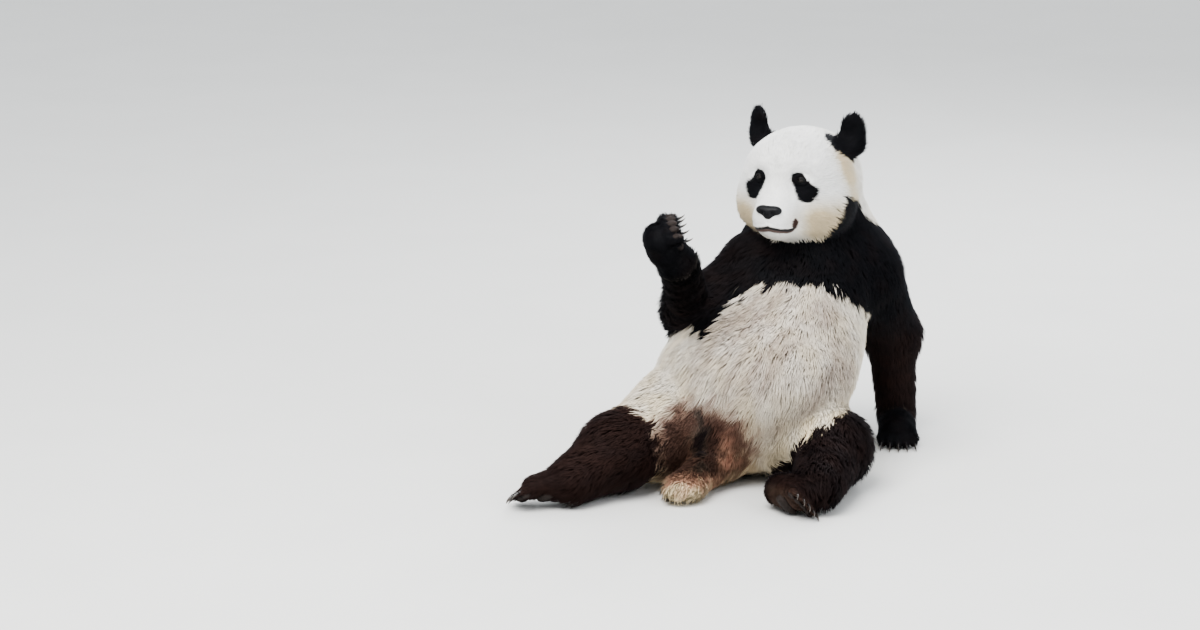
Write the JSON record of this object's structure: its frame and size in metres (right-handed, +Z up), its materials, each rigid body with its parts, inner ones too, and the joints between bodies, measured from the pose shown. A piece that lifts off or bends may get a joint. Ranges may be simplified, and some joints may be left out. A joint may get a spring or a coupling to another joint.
{
  "type": "giant panda",
  "caption": "Life-size still model of an adult giant panda sitting on its rump, one forepaw raised to its mouth.",
  "frame": {"origin": "centre of the whole figure's plan, on the floor it sits on", "axes": "+Z up; the belly and hind feet face -Y; the animal's own left is +X; the head is turned to its own right, between -Y and -X"},
  "size_m": [1.1056, 0.9124, 0.9318],
  "materials": {
    "white_coat": "short dense white fur",
    "cream_coat": "coarse cream and tan fur",
    "black_coat": "coarse black fur",
    "brown_black_coat": "coarse brown-black fur",
    "nose_leather": "moist black nose leather",
    "eye": "wet, glossy dark brown eye",
    "claw": "dark polished horn"
  },
  "bodies": {
    "root": {"claw_forepaw_left_1": "claw", "claw_forepaw_left_2": "claw", "claw_forepaw_left_3": "claw", "claw_forepaw_left_4": "claw", "claw_forepaw_left_5": "claw", "claw_forepaw_right_1": "claw", "claw_forepaw_right_2": "claw", "claw_forepaw_right_3": "claw", "claw_forepaw_right_4": "claw", "claw_forepaw_right_5": "claw", "claw_hindpaw_left_1": "claw", "claw_hindpaw_left_2": "claw", "claw_hindpaw_left_3": "claw", "claw_hindpaw_left_4": "claw", "claw_hindpaw_left_5": "claw", "claw_hindpaw_right_1": "claw", "claw_hindpaw_right_2": "claw", "claw_hindpaw_right_3": "claw", "claw_hindpaw_right_4": "claw", "claw_hindpaw_right_5": "claw", "ear_left": "black_coat", "ear_right": "black_coat", "eye_left": "eye", "eye_right": "eye", "forepaw_left": "black_coat", "forepaw_right": "black_coat", "head": "white_coat", "hindpaw_left": "brown_black_coat", "hindpaw_right": "brown_black_coat", "lower_foreleg_left": "black_coat", "lower_foreleg_right": "black_coat", "neck": "white_coat", "nose": "nose_leather", "shank_left": "brown_black_coat", "shank_right": "brown_black_coat", "tail": "cream_coat", "thigh_left": "brown_black_coat", "thigh_right": "brown_black_coat", "trunk": "cream_coat", "upper_foreleg_left": "black_coat", "upper_foreleg_right": "black_coat"}
  },
  "joints": []
}
